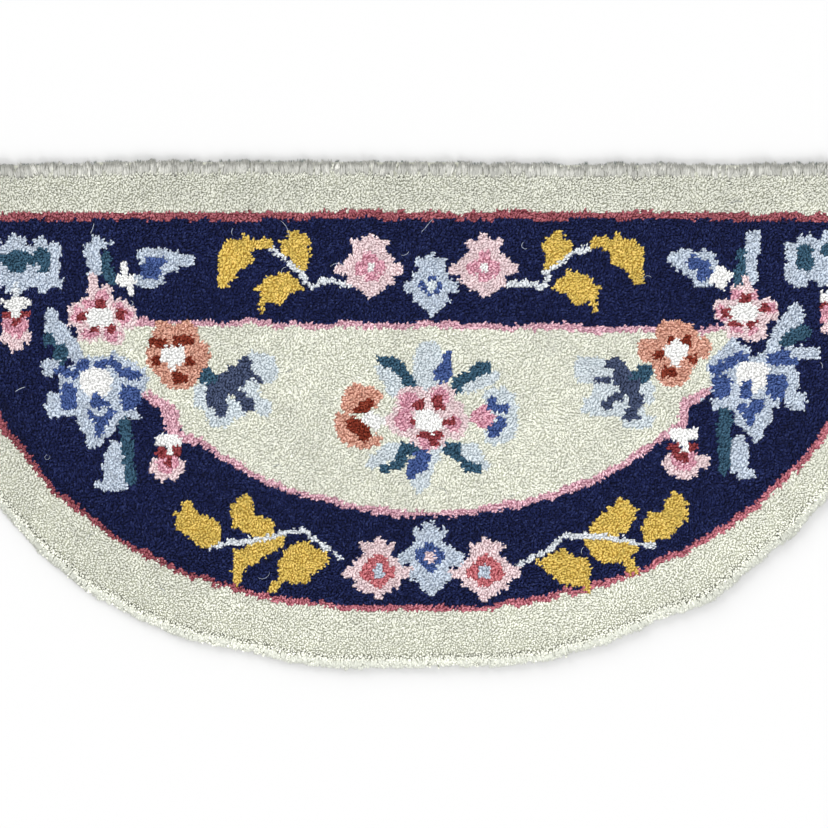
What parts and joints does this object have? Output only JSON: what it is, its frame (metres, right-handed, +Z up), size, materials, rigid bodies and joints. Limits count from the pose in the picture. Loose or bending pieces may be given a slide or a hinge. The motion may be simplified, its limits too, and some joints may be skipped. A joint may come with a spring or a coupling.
{
  "type": "half-round hand-knotted carpet",
  "caption": "Flat half-round wool pile carpet with one straight and one curved edge, a pale field and border and a dark flowered band; lies on a floor at a hearth or door.",
  "frame": {"origin": "on the underside, below the middle of the carpet's box", "axes": "+X along the straight edge, +Y towards the straight edge, +Z up through the pile"},
  "size_m": [1.2195, 0.5943, 0.012],
  "materials": {
    "wool_pile": "cut wool pile, matt"
  },
  "bodies": {
    "root": {"carpet": "wool_pile"}
  },
  "joints": []
}
